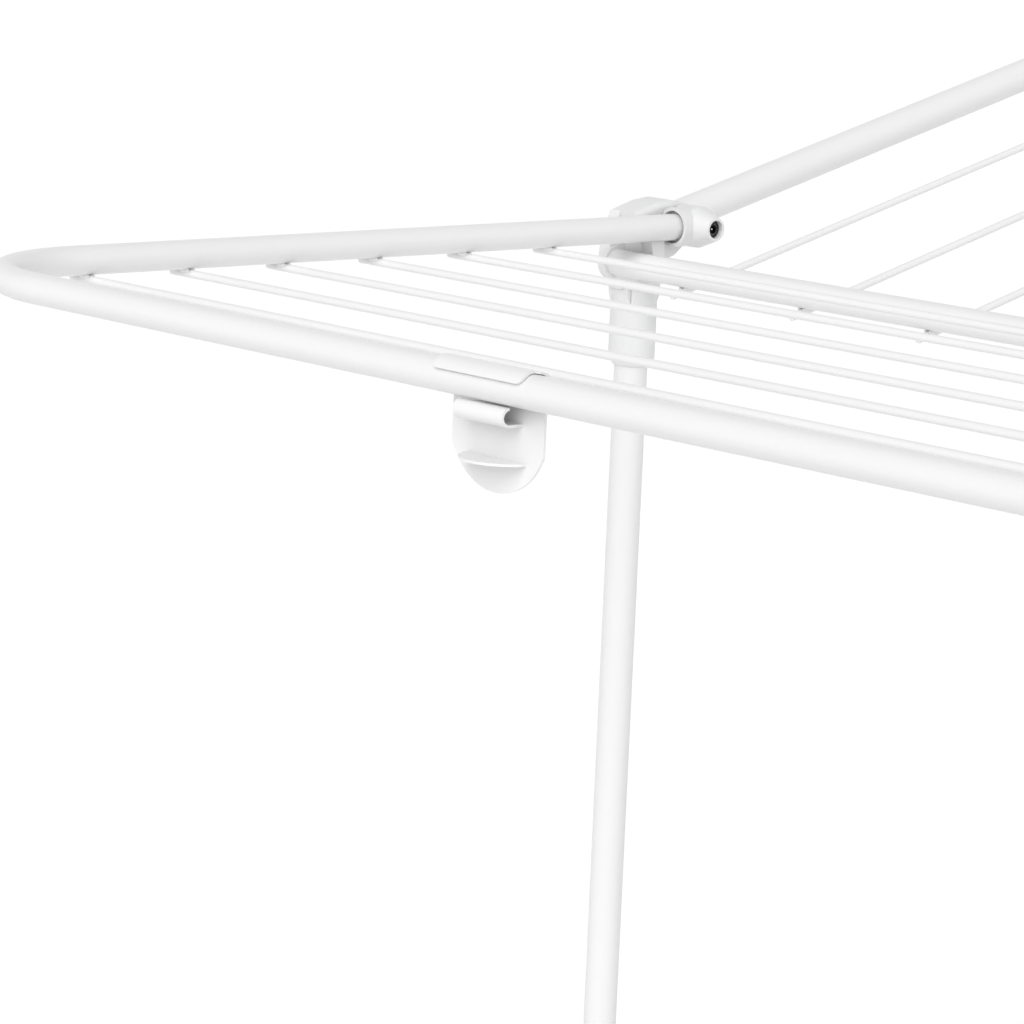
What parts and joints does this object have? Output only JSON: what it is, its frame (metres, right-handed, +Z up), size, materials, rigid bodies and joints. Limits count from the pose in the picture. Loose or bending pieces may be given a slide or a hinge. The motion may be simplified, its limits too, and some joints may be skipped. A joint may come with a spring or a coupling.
{
  "type": "winged drying rack",
  "caption": "Free-standing winged clothes drying rack with wire panels, fold-over wings, fold-in legs and sliding hanger clips.",
  "frame": {"origin": "on the floor, under the middle of the rack", "axes": "+X along the rack, +Y across it, +Z up"},
  "size_m": [1.8192, 0.7002, 0.9903],
  "materials": {
    "white_powder_coat": "satin",
    "coated_wire": "satin",
    "white_plastic": "satin",
    "grey_plastic": "satin",
    "bright_steel": "polished"
  },
  "bodies": {
    "frame": {"side_rail_front": "white_powder_coat", "side_rail_back": "white_powder_coat", "end_rail_left": "white_powder_coat", "corner_bracket_left_front": "grey_plastic", "corner_bracket_left_back": "grey_plastic", "end_rail_right": "white_powder_coat", "corner_bracket_right_front": "grey_plastic", "corner_bracket_right_back": "grey_plastic", "centre_wires": "coated_wire", "hinge_screws": "bright_steel", "hinge_washers": "grey_plastic", "leg_pins": "bright_steel"},
    "left_wing": {"wing_tube_left": "white_powder_coat", "wing_wires_left": "coated_wire", "wing_knuckle_left_front": "white_plastic", "wing_knuckle_left_back": "white_plastic"},
    "left_legs": {"leg_left_front": "white_powder_coat", "leg_bracket_left_front": "grey_plastic", "foot_left_front": "grey_plastic", "leg_left_back": "white_powder_coat", "leg_bracket_left_back": "grey_plastic", "foot_left_back": "grey_plastic", "cross_bar_left": "white_powder_coat", "cross_bar_clamps_left": "grey_plastic"},
    "left_clip": {"hanger_clip_left": "white_plastic"},
    "right_wing": {"wing_tube_right": "white_powder_coat", "wing_wires_right": "coated_wire", "wing_knuckle_right_front": "white_plastic", "wing_knuckle_right_back": "white_plastic"},
    "right_legs": {"leg_right_front": "white_powder_coat", "leg_bracket_right_front": "grey_plastic", "foot_right_front": "grey_plastic", "leg_right_back": "white_powder_coat", "leg_bracket_right_back": "grey_plastic", "foot_right_back": "grey_plastic", "cross_bar_right": "white_powder_coat", "cross_bar_clamps_right": "grey_plastic"},
    "right_clip": {"hanger_clip_right": "white_plastic"}
  },
  "joints": [
    {"name": "left_wing_fold", "type": "hinge", "parent": "frame", "child": "left_wing", "pos_m": [-0.5, 0, 0.88], "axis": [0, 1, 0], "range_deg": [0, 165]},
    {"name": "left_leg_fold", "type": "hinge", "parent": "frame", "child": "left_legs", "pos_m": [-0.5243, 0, 0.856], "axis": [0, -1, 0], "range_deg": [0, 104]},
    {"name": "left_clip_slide", "type": "slide", "parent": "left_wing", "child": "left_clip", "axis": [0, 1, 0], "range_m": [-0.23, 0.23]},
    {"name": "right_wing_fold", "type": "hinge", "parent": "frame", "child": "right_wing", "pos_m": [0.5, 0, 0.88], "axis": [0, -1, 0], "range_deg": [0, 165]},
    {"name": "right_leg_fold", "type": "hinge", "parent": "frame", "child": "right_legs", "pos_m": [0.5243, 0, 0.856], "axis": [0, 1, 0], "range_deg": [0, 104]},
    {"name": "right_clip_slide", "type": "slide", "parent": "right_wing", "child": "right_clip", "axis": [0, 1, 0], "range_m": [-0.23, 0.23]}
  ]
}
